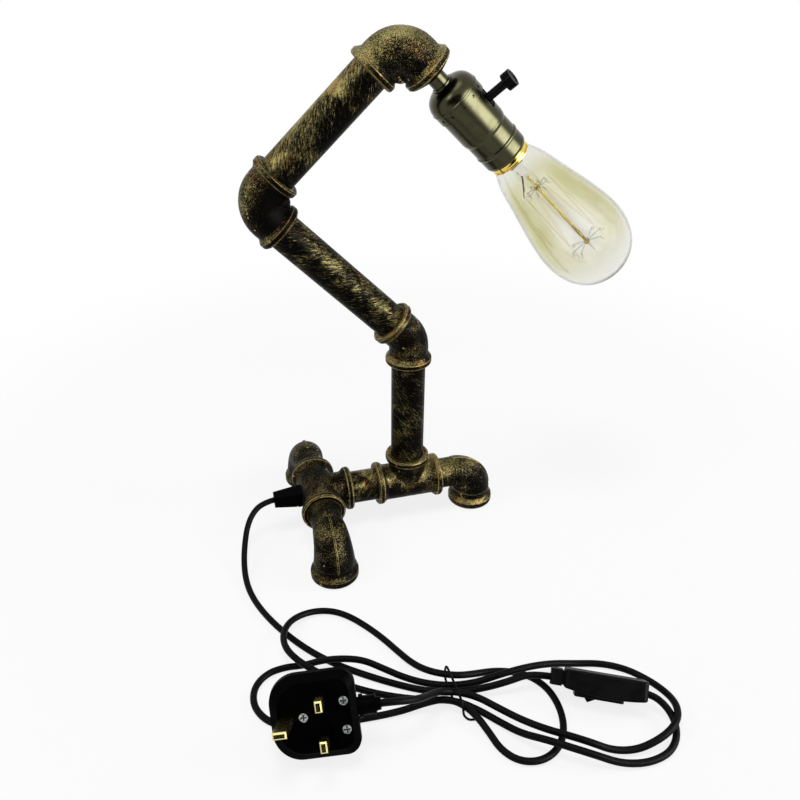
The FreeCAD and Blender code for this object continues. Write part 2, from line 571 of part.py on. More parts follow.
def build_filament_mount():
    """Flare and pinch, glass rod with two hubs, hooked supports, leads and filament."""
    stem = turned([
        (0, bulb_skirt + 2.0), (9.0, bulb_skirt - 1.6), (12.5, bulb_skirt - 3.0), (12.6, bulb_skirt - 2.5),
        (9.6, bulb_skirt - 0.8),
        (4.6, bulb_skirt + 7.0), (3.0, stem_end), (1.1, stem_end + 1.0), (1.1, upper_hub + 0.9),
        (1.7, upper_hub + 1.2), (1.2, upper_hub + 2.4), (0, upper_hub + 2.6)])
    spokes, hub_r, wire_r, filament_r = 8, 1.9, 0.24, 0.14
    hooks = []
    for name, hub, reach, offset in (("lower", lower_hub, 11.0, 0.5), ("upper", upper_hub, 15.5, 0.0)):
        wires = []
        for i in range(spokes):
            a = 2 * math.pi * (i + offset) / spokes
            out = V(math.cos(a), math.sin(a), 0)
            hooks.append((a, out * reach + Z * hub))
            if name == "upper" or i not in (0, spokes - 1):
                root = out * (hub_r - 0.5) + Z * hub
                wires.append(Part.makeCylinder(wire_r, reach - hub_r + 0.25, root, out))
        collar = tube(hub_r, 1.1, hub - 0.9, hub + 0.9)
        parts["bulb_supports_" + name] = on_head(collar.multiFuse(wires))
    path = [point for _, point in sorted(hooks, key=lambda hook: hook[0])][1:]
    section = Part.Wire(Part.makeCircle(filament_r, path[0], path[1] - path[0]))
    right_corners = 1
    parts["bulb_filament"] = on_head(
        Part.makePolygon(path).makePipeShell([section], True, False, right_corners))
    leads = []
    for index, end in enumerate((path[0], path[-1]), 1):
        out = unit(V(end.x, end.y, 0))
        line = [out * 2.2 + Z * (stem_end - 6.0), out * 4.0 + Z * (stem_end + 4.0), end - out * 0.2]
        pieces = [Part.makeCylinder(0.35, (b - a).Length, a, b - a) for a, b in zip(line, line[1:])]
        leads.append(pieces[0].multiFuse(pieces[1:] + [Part.makeSphere(0.45, line[1])]))
        parts["bulb_lead_%d" % index] = on_head(leads[-1])
    parts["bulb_stem"] = on_head(stem.cut(leads[0]).cut(leads[1]))


# ---- inline rocker switch ----
def switch_frame():
    """Local X along the flex, local Z out of the rocker's face, local Y across."""
    yaw, tilt = math.radians(switch_yaw), math.radians(switch_tilt)
    along = V(math.cos(yaw), math.sin(yaw), 0)
    forward = V(math.sin(yaw), -math.cos(yaw), 0)
    face = forward * math.sin(tilt) - Z * math.cos(tilt)
    return frame_at(from_riser(*switch_centre), face, along)


def extruded_across(corners, width):
    """Prism of (x, z) corners, centred on the middle plane."""
    outline = [V(x, -width / 2, z) for x, z in corners]
    return Part.Face(Part.makePolygon(outline + outline[:1])).extrude(V(0, width, 0))


def rounded_block(length, width, z0, z1, radius, x0):
    base = Part.Face(rounded_square(length, width, z0, radius)).extrude(V(0, 0, z1 - z0))
    base.translate(V(x0 + length / 2, 0, 0))
    return base


def crowned_case():
    """Case thinner at its ends, its rocker side crowned, with every long edge rounded."""
    half_l, back, end = switch_length / 2, -switch_t / 2, switch_t / 2 - (switch_t - switch_end_t)
    crown = Part.Arc(V(-half_l, 0, end), V(2.0, 0, switch_t / 2), V(half_l, 0, end + 0.6)).toShape()
    corners = [V(half_l, 0, end + 0.6), V(half_l, 0, back), V(-half_l, 0, back), V(-half_l, 0, end)]
    loop = [crown] + [Part.makeLine(a, b) for a, b in zip(corners, corners[1:])]
    case = Part.Face(Part.Wire(loop)).extrude(V(0, switch_w, 0))
    case.translate(V(0, -switch_w / 2, 0))
    upright = [e for e in case.Edges if abs(e.Vertexes[0].Z - e.Vertexes[1].Z) > switch_end_t / 2]
    case = case.makeFillet(3.0, upright)
    rims = [e for e in case.Edges if (e.BoundBox.ZMin > end - 0.01 or e.BoundBox.ZMax < back + 0.01)]
    return case.makeFillet(1.4, rims)


def build_inline_switch():
    frame = switch_frame()
    half_l, half_t = switch_length / 2, switch_t / 2
    left, axis_z = -half_l, half_t - rocker_sunk
    nose = rounded_block(collar_length + 4, 14.0, -half_t + 1.2, half_t - 3.0, 2.4, left - collar_length)
    waist = rounded_block(1.4, 16.0, -half_t, half_t, 0.6, left - 1.4).cut(
        rounded_block(2.4, 12.6, -half_t + 2.0, half_t - 3.8, 0.6, left - 1.9))
    bezel = rounded_block(bezel_length, bezel_w, 0, half_t + bezel_rise, 2.0,
                          rocker_x - bezel_length / 2)
    rim = [e for e in bezel.Edges if e.BoundBox.ZMin > half_t + bezel_rise - 0.01]
    shell = crowned_case().fuse(nose.cut(waist)).fuse(bezel.makeFillet(0.7, rim))
    flex_hole = Part.makeCylinder(flex_d / 2, 12, V(left - collar_length - 1, 0, 0), X)
    flex_hole = flex_hole.fuse(Part.makeCylinder(flex_d / 2, 8, V(half_l - 7, 0, 0), X))
    well = Part.makeBox(rocker_length + 0.8, rocker_w + 0.8, 14, V(
        rocker_x - rocker_length / 2 - 0.4, -rocker_w / 2 - 0.4, half_t - 7.0))
    shell = shell.cut(flex_hole).cut(well)
    axle = Part.makeCylinder(1.0, rocker_w + 3, V(rocker_x, -rocker_w / 2 - 1.5, axis_z), Y)
    front_half = Part.makeBox(120, 60, 40, V(-60, -30, switch_split))
    parts["inline_case_front"] = placed(shell.common(front_half).cut(axle), frame)
    back_half = shell.cut(front_half)
    for index, x in enumerate((6.0 - half_l, half_l - 6.0), 1):
        back_half = back_half.cut(Part.makeCylinder(2.0, 2.2, V(x, 0, -half_t - 0.1)))
        parts["inline_screw_%d" % index] = placed(cross_screw(x, 0, 0.7 - half_t, 2.0, 1.4), frame)
    parts["inline_case_back"] = placed(back_half, frame)
    parts["inline_axle"] = placed(axle, frame)
    build_rocker(frame, axis_z)


def cross_screw(x, y, z, radius, height, slot_side=-1):
    """Cheese-head screw with a cross recess; slot_side is -1 for a recess in its lower face."""
    head = Part.makeCylinder(radius, height, V(x, y, z))
    arm, width, depth = radius * 1.5, radius * 0.32, height * 0.5
    z_slot = z + height - depth if slot_side > 0 else z - 0.01
    for a, b in ((arm, width), (width, arm)):
        head = head.cut(Part.makeBox(a, b, depth + 0.01, V(x - a / 2, y - b / 2, z_slot)))
    return head


def build_rocker(frame, axis_z):
    """Two-winged rocker with sloped ends and grip grooves, tipped fully over to one side."""
    half, lean = rocker_length / 2 - 0.3, 2.2
    outline = [(-half + lean, rocker_wing), (-1.5, rocker_waist), (1.5, rocker_waist),
               (half - lean, rocker_wing), (half, 0.6), (half, -0.6), (3.0, -2.6), (-3.0, -2.6),
               (-half, -0.6), (-half, 0.6)]
    block = extruded_across(outline, rocker_w)
    fall = (rocker_wing - rocker_waist) / (half - lean - 1.5)
    for side in (-1, 1):
        for i in range(4):
            from_end = lean + 1.2 + 1.3 * i
            depth_at = rocker_wing - 0.45 - fall * (from_end - lean)
            block = block.cut(Part.makeBox(0.5, rocker_w - 2, 2.0, V(
                side * (half - from_end) - 0.25, 1 - rocker_w / 2, depth_at)))
    block = block.cut(Part.makeCylinder(1.0 + swivel_gap, rocker_w + 2, V(0, -rocker_w / 2 - 1, 0), Y))
    tipped = FreeCAD.Placement(V(rocker_x, 0, axis_z), FreeCAD.Rotation(Y, rocker_swing / 2))
    parts["inline_rocker"] = placed(placed(block, tipped), frame)


# ---- 13 A plug ----
def plug_frame():
    """Local Z along the pins, local X towards the earth pin."""
    yaw, lift, roll = math.radians(plug_yaw), math.radians(plug_lift), math.radians(plug_roll)
    pins = V(-math.sin(yaw) * math.cos(lift), -math.cos(yaw) * math.cos(lift), math.sin(lift))
    level = V(-math.cos(yaw), math.sin(yaw), 0)
    earth = level * math.cos(roll) + pins.cross(level) * math.sin(roll)
    return frame_at(from_riser(*plug_face), pins, earth)


def plug_outline(inset, z):
    """Closed wire of the plug's body: broad rounded earth end, squarer cable end."""
    half = plug_w / 2 - inset
    front, back = plug_to_earth - inset, -plug_to_cable + max(0.0, inset - plug_skirt)
    big, small = 17.0 - inset * 0.4, 9.0 - inset * 0.4
    k = math.sqrt(0.5)

    def corner(cx, cy, radius, quadrant_x, quadrant_y):
        start = V(cx + quadrant_x * radius, cy, z)
        mid = V(cx + quadrant_x * radius * k, cy + quadrant_y * radius * k, z)
        end = V(cx, cy + quadrant_y * radius, z)
        return start, mid, end

    a = corner(front - big, half - big, big, 1, 1)
    b = corner(back + small, half - small, small, -1, 1)
    c = corner(back + small, -half + small, small, -1, -1)
    d = corner(front - big, -half + big, big, 1, -1)
    edges = [
        Part.Arc(a[0], a[1], a[2]).toShape(), Part.LineSegment(a[2], b[2]).toShape(),
        Part.Arc(b[2], b[1], b[0]).toShape(), Part.LineSegment(b[0], c[0]).toShape(),
        Part.Arc(c[0], c[1], c[2]).toShape(), Part.LineSegment(c[2], d[2]).toShape(),
        Part.Arc(d[2], d[1], d[0]).toShape(), Part.LineSegment(d[0], a[0]).toShape()]
    return Part.Wire(edges)


def build_plug():
    frame = plug_frame()
    base = Part.makeLoft([plug_outline(plug_flare + 0.6, 0), plug_outline(plug_flare, -0.6),
                          plug_outline(0.4, -3.4), plug_outline(0, -plug_base_t)],
                         True, True)
    cover = build_plug_cover()
    cable_axis = V(-plug_to_cable - relief_on_plug - 1, 0, -cable_depth)
    flex_hole = Part.makeCylinder(flex_d / 2, relief_on_plug + 3, cable_axis, X)
    relief_seat = Part.makeCylinder(5.0, 6, V(-plug_to_cable - 1, 0, -cable_depth), X)
    pin_slots = []
    for name, x, y, w, h, length, tip in (
            ("pin_earth", earth_offset, 0, 8.0, 4.0, 22.7, 0.9),
            ("pin_line", 0, pin_pitch / 2, 4.0, 6.35, 17.7, 0.8),
            ("pin_neutral", 0, -pin_pitch / 2, 4.0, 6.35, 17.7, 0.8)):
        bar = pin_bar(x, y, w, h, -4.0, length, tip)
        pin_slots.append(bar)
        if name != "pin_earth":
            sleeve = Part.makeBox(w, h, 9.5, V(x - w / 2, y - h / 2, 0))
            waist = Part.makeBox(w - 0.8, h - 0.8, 9.5, V(x - w / 2 + 0.4, y - h / 2 + 0.4, 0))
            bar = bar.cut(sleeve.cut(waist))
            parts["sleeve_" + name[4:]] = placed(sleeve.cut(waist), frame)
        parts[name] = placed(bar, frame)
    base = base.cut(pin_slots[0]).cut(pin_slots[1]).cut(pin_slots[2])
    screw_spots = ((12.4, -0.3), (-11.5, 9.2), (-11.5, -7.2))
    for index, (x, y) in enumerate(screw_spots, 1):
        base = base.cut(Part.makeCylinder(3.0, 4.0, V(x, y, -1.8)))
        parts["plug_screw_%d" % index] = placed(cross_screw(x, y, -1.8, 2.6, 1.4, 1), frame)
    parts["plug_base"] = placed(base.cut(relief_seat).cut(flex_hole), frame)
    parts["plug_cover"] = placed(cover.cut(relief_seat).cut(flex_hole), frame)
    build_plug_relief(frame, flex_hole)


def build_plug_cover():
    """Cover with drafted sides, deepest over the cable and sloping away to the earth end."""
    bottom = -plug_base_t - plug_cover_t
    cover = Part.makeLoft([plug_outline(0.4, -plug_base_t), plug_outline(plug_skirt + 1.9, -15.0),
                           plug_outline(plug_draft, -19.5), plug_outline(plug_draft + 5.0, bottom)],
                          True, True)
    slope = extruded_across([(plug_slope_from, bottom - 1), (plug_slope_from, bottom),
                             (plug_to_earth + 1, -plug_slope_to), (plug_to_earth + 1, bottom - 1)],
                            plug_w + 4)
    return cover.cut(slope)


def pin_bar(x, y, w, h, z0, z1, chamfer):
    """Rectangular pin with its tip chamfered on four sides."""
    def section(inset, z):
        return Part.makePolygon([
            V(x - w / 2 + inset, y - h / 2 + inset, z), V(x + w / 2 - inset, y - h / 2 + inset, z),
            V(x + w / 2 - inset, y + h / 2 - inset, z), V(x - w / 2 + inset, y + h / 2 - inset, z),
            V(x - w / 2 + inset, y - h / 2 + inset, z)])
    bar = Part.makeBox(w, h, z1 - chamfer - z0, V(x - w / 2, y - h / 2, z0))
    return bar.fuse(Part.makeLoft([section(0, z1 - chamfer), section(chamfer, z1)], True, True))


def build_plug_relief(frame, flex_hole):
    """Stepped cable sleeve at the plug's flex outlet."""
    start = V(-plug_to_cable + 5.0, 0, -cable_depth)
    sleeve = turned([(0, 0), (5.0, 0), (5.0, 5.6), (6.6, 5.6), (6.6, 7.4), (5.6, 7.4), (5.2, 14.0),
                     (5.8, 14.0), (5.6, 15.2), (4.0, 15.2), (3.6, relief_on_plug + 5.0),
                     (0, relief_on_plug + 5.0)])
    parts["plug_relief"] = placed(placed(sleeve, frame_at(start, -X, Y)).cut(flex_hole), frame)


# ---- twist tie round the bundle ----
def build_tie():
    """One turn of wire round the six strands, its free end bent down to the floor."""
    near_y, far_y, low_z, high_z = -203.4, -170.8, 0.75, 12.8
    pitch = 1.8
    route = [(0, -190, low_z), (0, -182, low_z + 0.01), (0.2, far_y - 1, low_z), (0.4, far_y, 7),
             (0.6, far_y - 1.5, high_z), (0.9, -187, high_z + 0.8), (1.2, near_y + 1.5, high_z),
             (1.5, near_y, 7), (pitch, near_y - 0.6, 3.4), (pitch + 2.5, near_y - 2.6, 1),
             (pitch + 8, near_y - 3.4, low_z)]
    points = [from_riser(tie_x + x, y, z) for x, y, z in route]
    wire, _, _ = rounded_path(points)
    section = Part.Wire(Part.makeCircle(tie_wire_r, points[0], points[1] - points[0]))
    parts["cord_tie"] = wire.makePipeShell([section], True, False)


def build_leads():
    flex("lead_lamp_to_switch", [from_riser(*p) for p in lamp_lead])
    radii = flex("lead_switch_to_plug", [from_riser(*p) for p in switch_lead])
    print("radii", " ".join("%.0f" % r for r in radii))


build_base()
build_arms()
build_inner_flex()
build_lampholder()
build_knob()
build_bulb()
build_inline_switch()
build_plug()
build_tie()
build_leads()

os.makedirs("parts", exist_ok=True)
for name, shape in parts.items():
    if not shape.isValid() or len(shape.Solids) != 1:
        print("check", name, "valid", shape.isValid(), "solids", len(shape.Solids))
    shape.exportStep("parts/%s.step" % name)
print(len(parts), "sub-parts")
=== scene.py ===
import json
import math
import bpy
from mathutils import Matrix, Vector


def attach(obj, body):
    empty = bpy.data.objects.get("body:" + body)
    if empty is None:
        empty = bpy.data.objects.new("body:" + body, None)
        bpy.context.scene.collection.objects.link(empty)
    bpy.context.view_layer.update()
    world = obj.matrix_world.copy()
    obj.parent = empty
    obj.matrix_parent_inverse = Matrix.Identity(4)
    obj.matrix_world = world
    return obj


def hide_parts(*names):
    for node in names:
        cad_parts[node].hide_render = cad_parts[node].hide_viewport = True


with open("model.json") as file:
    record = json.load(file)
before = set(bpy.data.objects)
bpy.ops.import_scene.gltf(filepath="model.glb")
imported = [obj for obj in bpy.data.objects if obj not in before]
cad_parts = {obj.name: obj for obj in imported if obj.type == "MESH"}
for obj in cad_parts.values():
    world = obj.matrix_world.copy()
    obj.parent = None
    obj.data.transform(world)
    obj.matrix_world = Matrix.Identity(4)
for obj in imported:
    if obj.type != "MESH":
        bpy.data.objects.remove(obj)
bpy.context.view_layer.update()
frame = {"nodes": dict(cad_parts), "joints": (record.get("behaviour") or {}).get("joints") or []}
nodes = frame["nodes"]
joints = {joint["name"]: joint for joint in frame["joints"]}
MM = 0.001
X = Vector((1, 0, 0))
Z = Vector((0, 0, 1))

# ---- places taken from the frame ----
riser = Vector(joints["arm_swing"]["pos_m"]) * Vector((1, 1, 0))
middle = Vector(joints["upper_arm_turn"]["pos_m"])
top = Vector(joints["head_turn"]["pos_m"])
lower_dir = Vector(joints["upper_arm_turn"]["axis"]).normalized()
upper_dir = Vector(joints["head_turn"]["axis"]).normalized()
head_dir = Vector(joints["bulb_turn"]["axis"]).normalized()

# ---- camera, metres and radians ----
camera_spot = Vector((-0.1495, -0.5079, 0.4359)) + riser
camera_pitch = 0.5609
camera_azimuth = 0.2752
camera_roll = 0.0101
sensor_width = 36                      # millimetres
focal_in_frames = 831.5 / 800

# ---- surroundings: strengths, and sizes in metres ----
world_light = 0.32                     # light from all round
floor_radius = 9.0
floor_drop = 0.0002
shadow_radius, white_radius = 0.25, 0.6
shadow_glow = 0.82                     # share of plain white where the floor keeps the shadow
card_core, card_edge = 0.2, 0.5        # shares of a card's side between which its glow fades
card_edge_glow = 1.0
card_sharp_glow = 2.2                  # what sharp reflections, as in glass, see of a card

# ---- fittings and the body each rides on, millimetres ----
fittings = {"tee_entry": "base", "tee_riser": "base", "foot_front": "base", "foot_back": "base",
            "foot_right": "base", "elbow_knee": "swing_arm", "elbow_middle": "upper_arm", "elbow_top": "head"}
casting_voxel = 0.45
skin_grain = 3.5
skin_depth = 0.28
tube_radius = 12.5
base_height = 29.5                     # axis of the base's pipes above the table

# ---- bronzed finish ----
lacquer_brown = (0.0024, 0.0019, 0.0008)
lacquer_violet = (0.0022, 0.0017, 0.0018)
gold_pale = (0.350, 0.302, 0.115)
gold_copper = (0.390, 0.245, 0.080)
copper_from = 0.47                     # noise level at which the gold starts to turn to copper
crest_copper = 0.42
speckle_from, speckle_full = 0.63, 0.80
stroke_from, stroke_full = 0.615, 0.80
corner_from, corner_end = 0.46, 0.49   # Pointiness, which is 0.5 where a surface is flat
crest_from, crest_span = 0.508, 0.022
painted_light_direction = (-0.28, -0.20, 0.94)   # the side facing the top light, where gold is painted thicker as a highlight
# the side facing the left light, where the middle elbow's gold is painted thicker as a highlight
elbow_painted_light_direction = (-0.88, -0.14, 0.46)
brush_lean = math.radians(55)
brush_strokes = ((1.0, 0.6), (0.72, 0.8), (-0.55, 0.7))   # share of the lean, grain in millimetres
stroke_squeeze = 0.2                   # the pattern's scale along the pipe

# ---- bulb, millimetres along and out from the head's axis ----
coat_start, coat_full, coat_fade, coat_end = 112, 132, 170, 203   # where the glass is tinted
pinch_station = 117.0
hook_station = 130.4                   # where the filament hangs in the lower hooks
lower_station = 131.0
upper_station = 187.0
spokes = 8
half_gap = math.pi / spokes            # half the angle between two spokes
lower_reach = 8.6
upper_reach = 13.0
spoke_radius = 0.15
spoke_root = 1.3                       # inside the hub's collar
hook_radius = 1.15
hook_curl = math.radians(250)
hub_radius = 1.9
hub_length = 1.9
hub_bevel = 0.35
rod_radius = 1.1
filament_radius = 0.07
filament_lower_reach = 11.0
filament_upper_reach = 15.5
lead_radius = 0.35
lead_reach = 10.9
bend_swell = 1.05                      # a wire's width at its bends
glass_ior = 1.47

# ---- flex routes, millimetres from the riser's foot ----
flex_width = 4.4
lamp_lead = [
    (-106, 0, 29.5), (-114.8, -1.2, 28.9), (-122.6, -5.4, 25.6), (-128.6, -12.8, 19.8),
    (-132.6, -23.6, 12.2), (-135.6, -38.5, 5.6), (-136, -56, 2.2), (-132.5, -75, 2.2),
    (-125, -94, 2.2), (-114.5, -113, 2.2), (-102, -130.5, 2.2), (-88, -145, 2.2),
    (-73, -157, 2.2), (-57, -168.5, 2.2), (-40, -179, 2.4), (-23, -186.5, 3.8), (-5, -190, 6),
    (12, -191.8, 9.4), (27.6, -190.9, 11.6), (41.1, -197.9, 11.6)]
switch_lead = [
    (84.8, -220.5, 11.6), (93.3, -224.9, 11.1), (98.9, -232.5, 8.6), (100.5, -241.9, 5.6),
    (97.2, -250.8, 3.2), (90.2, -257.3, 2.2), (81.2, -260.6, 2.2), (69.3, -261.2, 2.2),
    (55.5, -258.2, 3.5), (42.5, -252.6, 8), (31, -246.6, 10.5), (18, -237.2, 10.5), (7.5, -226, 5),
    (-1, -213.5, 2.2), (-10.5, -202, 2.4), (-23, -192, 3.8), (-40, -186.5, 2.6), (-57, -179.5, 2.2),
    (-73, -171, 2.2), (-88, -162.5, 4.5), (-101, -154.5, 9), (-112, -145, 12.5),
    (-118.5, -133, 12.5), (-119, -120, 10.5), (-114.5, -108, 8), (-106, -99.5, 5),
    (-94, -95.5, 2.8), (-81.5, -98, 2.2), (-71, -106, 2.2), (-61, -119, 2.2), (-53, -132, 2.2),
    (-46.5, -145, 2.2), (-40.5, -157, 3), (-34.5, -166.8, 6), (-26.6, -174.2, 8.4),
    (-16, -178.2, 8), (-4, -177.6, 5.4), (8.5, -176.5, 2.8), (20.2, -179.6, 2.2),
    (30.2, -186.2, 2.2), (36.6, -196.2, 2.2), (38.6, -208, 2.2), (37.2, -220.4, 2.2), (32.4, -231.8, 2.2),
    (23.6, -240.8, 2.2), (11.6, -244.4, 2.2), (-0.2, -240.8, 2.2), (-7.6, -231, 2.2),
    (-10, -219, 2.4), (-14, -207.4, 4.8), (-20.4, -198.2, 7.2), (-30, -192.6, 8.2),
    (-42, -191, 6.2), (-55, -190.5, 3), (-69, -190, 2.2), (-85, -189, 2.2),
    (-101, -188.5, 2.2), (-116, -186.5, 2.2), (-129.2, -182, 2.2), (-139.2, -173.8, 2.2),
    (-144.2, -161.8, 2.2), (-142, -149, 2.2), (-132.8, -140.2, 2.2), (-120.4, -138.2, 2.2),
    (-109, -141, 3.4), (-98, -143.5, 7.6), (-86, -147, 10), (-72, -151.5, 9.6),
    (-60, -158.5, 5.5), (-49, -166, 2.6), (-37, -174, 2.4), (-23, -181, 3.8), (-6, -184, 4.9),
    (11, -185.2, 9.6), (29, -184.8, 10.2), (46, -183.5, 6.5), (62, -184.4, 2.4), (78.5, -188.4, 2.2),
    (92.2, -196.6, 2.2), (101.6, -208, 2.4), (106.2, -220.6, 4.8), (106.2, -232.8, 8.4),
    (101.2, -243.4, 10.6), (92, -250.4, 10.2), (80.6, -253, 7), (68.6, -252.8, 3.4),
    (55, -249.8, 4), (42.5, -244.8, 9.5), (31, -237.5, 10.5), (20.5, -229.5, 9.5), (10, -218, 7),
    (0, -206.5, 6.6), (-10, -196.2, 7.8), (-21.4, -190.4, 9), (-32, -190.4, 13.2),
    (-40.8, -196, 19.6), (-48.4, -202.6, 26.8), (-57, -205.6, 31.4), (-66.6, -205.4, 33.4),
    (-76, -203.1, 31.9)]


# ---- selecting, shaping and placing ----
def pick(*pieces):
    """Selects these pieces alone, with the first one active."""
    bpy.ops.object.select_all(action="DESELECT")
    for piece in pieces:
        piece.select_set(True)
    bpy.context.view_layer.objects.active = pieces[0]


def edit():
    """Edit mode on the active piece, with its whole mesh selected."""
    bpy.ops.object.mode_set(mode="EDIT")
    bpy.ops.mesh.select_all(action="SELECT")


def leave_edit():
    bpy.ops.object.mode_set(mode="OBJECT")


def apply_modifier(piece, kind, **settings):
    modifier = piece.modifiers.new(kind.lower(), kind)
    for key, value in settings.items():
        setattr(modifier, key, value)
    bpy.ops.object.modifier_apply(modifier=modifier.name)


def close_seams():
    """In edit mode: joins doubled points and turns every face outward."""
    bpy.ops.mesh.select_all(action="SELECT")
    bpy.ops.mesh.remove_doubles(threshold=0.001 * MM)
    bpy.ops.mesh.normals_make_consistent(inside=False)


def apply_place():
    """Moves the selected pieces' places into their meshes."""
    bpy.ops.object.transform_apply(location=True, rotation=True, scale=True)


def put(piece, place):
    """Leaves the piece's object at the origin, its mesh moved to the place."""
    pick(piece)
    piece.matrix_world = place
    apply_place()


def head_place(station=0.0):
    """Matrix whose local Z runs along the head and whose origin is a station on it, in mm."""
    side = head_dir.cross(upper_dir).normalized()
    turn = Matrix((side.cross(head_dir), side, head_dir)).transposed()
    return Matrix.Translation(top + head_dir * station * MM) @ turn.to_4x4()


def aim(thing, target, axis):
    """Turns a lamp or a card until its axis points at the target."""
    thing.rotation_euler = (Vector(target) - thing.location).to_track_quat(axis, "Y").to_euler()


# ---- shader nodes ----
def fill(tree, node, sockets):
    """Links the values that come from other nodes and sets the plain ones."""
    for key, value in sockets.items():
        if isinstance(value, bpy.types.NodeSocket):
            tree.links.new(value, node.inputs[key])
        else:
            node.inputs[key].default_value = value


def add(tree, kind, sockets=None, **settings):
    node = tree.nodes.new("ShaderNode" + kind)
    for key, value in settings.items():
        setattr(node, key, value)
    fill(tree, node, sockets or {})
    return node


def empty_tree(holder):
    """Cleared node tree of a new material or world."""
    holder.use_nodes = True
    holder.node_tree.nodes.clear()
    return holder.node_tree


def start_material(name):
    """New material, with its tree, its shader and the place on the object."""
    material = bpy.data.materials.new(name)
    tree = empty_tree(material)
    shader = add(tree, "BsdfPrincipled")
    add(tree, "OutputMaterial", {"Surface": shader.outputs["BSDF"]})
    spot = add(tree, "TexCoord").outputs["Object"]
    return material, tree, shader, spot


def noise(tree, spot, size_mm, detail=4.0, roughness=0.55):
    """Fractal noise whose largest grain is about size_mm across."""
    return add(tree, "TexNoise", {"Vector": spot, "Scale": 1000.0 / size_mm, "Detail": detail,
                                  "Roughness": roughness}).outputs["Fac"]


def ramp(tree, value, low, high, to_low=0.0, to_high=1.0):
    """Smooth step from to_low, where the value is low, to to_high, where it is high."""
    return add(tree, "MapRange", {"Value": value, "From Min": low, "From Max": high, "To Min": to_low,
                                  "To Max": to_high}, interpolation_type="SMOOTHSTEP").outputs["Result"]


def combine(tree, operation, a, b):
    """Sum, product, maximum or the like of two values."""
    return add(tree, "Math", {0: a, 1: b}, operation=operation).outputs[0]


def along(tree, vector, direction):
    """How far a vector reaches along a direction."""
    return add(tree, "VectorMath", {0: vector, 1: direction}, operation="DOT_PRODUCT").outputs["Value"]


def distance(tree, vector):
    """Length of a vector, so the distance from the origin to a place."""
    return add(tree, "VectorMath", {0: vector}, operation="LENGTH").outputs["Value"]


def head_station(tree, spot):
    """Metres along the head's axis from the top elbow's centre."""
    return combine(tree, "SUBTRACT", along(tree, spot, head_dir), top.dot(head_dir))


def blend(tree, amount, a, b):
    return add(tree, "Mix", {"Factor": amount, "A": a, "B": b}).outputs["Result"]


def blend_colour(tree, amount, a, b):
    return add(tree, "Mix", {"Factor": amount, 6: a, 7: b}, data_type="RGBA").outputs[2]


def rgb(r, g, b):
    return (r, g, b, 1.0)


def bump(tree, shader, height, depth_mm):
    relief = add(tree, "Bump", {"Height": height, "Distance": depth_mm * MM, "Strength": 1.0})
    fill(tree, shader, {"Normal": relief.outputs["Normal"]})


def backdrop_rays(tree):
    """1 for the rays that show the backdrop: from the camera, off gloss and through glass."""
    path = add(tree, "LightPath").outputs
    direct = combine(tree, "MAXIMUM", path["Is Camera Ray"], path["Is Glossy Ray"])
    return combine(tree, "MAXIMUM", direct, path["Is Transmission Ray"])


# ---- bronzed finish on castings and pipes ----
def bronze(tree, shader, spot, gold, copper_start, crest):
    """Near-black lacquer with gold where gold is 1, partly rubbed on and partly painted highlight, redder in
    clouds and on crests.
    """
    tint = ramp(tree, noise(tree, spot, 9.0), 0.4, 0.6)
    dark = blend_colour(tree, tint, rgb(*lacquer_brown), rgb(*lacquer_violet))
    clouds = ramp(tree, noise(tree, spot, 12.0, 3.0), copper_start, copper_start + 0.25)
    copper = combine(tree, "MAXIMUM", clouds, combine(tree, "MULTIPLY", crest, crest_copper))
    bright = blend_colour(tree, copper, rgb(*gold_pale), rgb(*gold_copper))
    fill(tree, shader, {"Base Color": blend_colour(tree, gold, dark, bright),
                        "Roughness": ramp(tree, gold, 0.0, 1.0, 0.30, 0.40),
                        "Metallic": ramp(tree, gold, 0.0, 1.0),
                        "Specular IOR Level": 0.02})


def gold_patches_and_painted_highlight(tree, spot, patch_mm, by_painted_highlight, by_patch, lit_toward=painted_light_direction):
    """How thickly the gold lies: in patches, as wiped on, and thicker where a face looks toward the light, as
    painted highlight.
    """
    normal = add(tree, "TexCoord").outputs["Normal"]
    # painted highlight: more gold on faces that look toward the light
    side = ramp(tree, along(tree, normal, Vector(lit_toward).normalized()), 0.1, 1.0)
    patches = ramp(tree, noise(tree, spot, patch_mm, 3.0), 0.36, 0.64)
    return combine(tree, "ADD", combine(tree, "MULTIPLY", patches, by_patch),
                   combine(tree, "MULTIPLY", side, by_painted_highlight))


def casting_finish(name, by_painted_highlight, by_patch, even=0.0, edge=crest_from, lit_toward=painted_light_direction,
                   copper_start=copper_from):
    """Gold as fine speckle, thicker in patches and, as painted highlight, on the side facing the light; none
    in corners and worn bright on crests.
    """
    material, tree, shader, spot = start_material(name)
    grain = noise(tree, spot, 0.6, 4.0, 0.70)
    cover = combine(tree, "ADD", gold_patches_and_painted_highlight(tree, spot, 13.0, by_painted_highlight, by_patch, lit_toward), even)
    # gold speckle plus painted highlight on the lit side
    gold_dust_and_highlight = combine(tree, "ADD", grain, cover)
    pointed = add(tree, "NewGeometry").outputs["Pointiness"]
    crest = combine(tree, "MULTIPLY", ramp(tree, pointed, edge, edge + crest_span),
                    ramp(tree, grain, 0.36, 0.50))
    out_of_corners = ramp(tree, pointed, corner_from, corner_end)
    speckle = combine(tree, "MULTIPLY", ramp(tree, gold_dust_and_highlight, speckle_from, speckle_full), out_of_corners)
    gold = combine(tree, "MAXIMUM", speckle, crest)
    bronze(tree, shader, spot, gold, copper_start, crest)
    bump(tree, shader, grain, 0.22)
    return material


